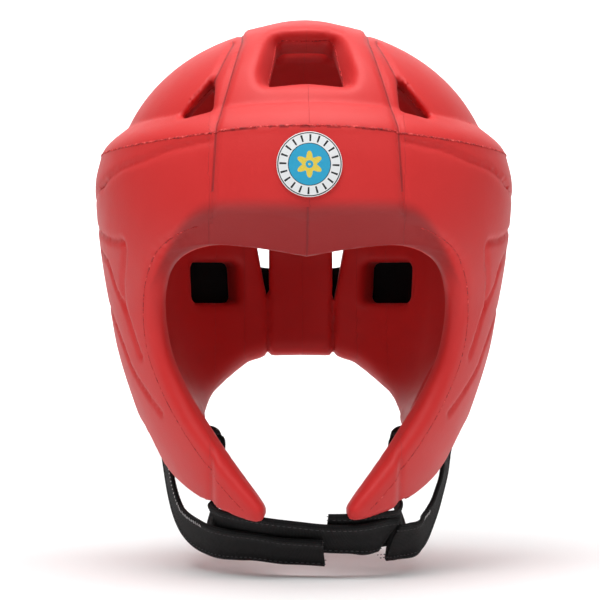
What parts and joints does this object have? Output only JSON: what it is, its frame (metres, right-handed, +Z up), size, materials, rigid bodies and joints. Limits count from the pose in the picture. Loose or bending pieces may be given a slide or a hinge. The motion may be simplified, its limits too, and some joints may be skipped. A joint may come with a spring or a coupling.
{
  "type": "taekwondo headgear",
  "caption": "Open-face moulded foam head guard with crown vents, cheek guards, a rear elastic band and a hook-and-loop chin strap.",
  "frame": {"origin": "the point inside the crown where the top of the wearer's head touches, on the middle plane", "axes": "+Z up through the crown, the face looks along -Y, +X to the left of the wearer, which is to the right as seen from the front"},
  "size_m": [0.22, 0.2582, 0.2806],
  "materials": {
    "foam_red": "satin",
    "webbing_black": "matte",
    "elastic_black": "matte",
    "patch": "satin"
  },
  "bodies": {
    "root": {"shell": "foam_red", "badge": "patch", "rear_strap": "elastic_black", "chin_strap_left": "webbing_black", "chin_strap_right": "webbing_black"}
  },
  "joints": []
}
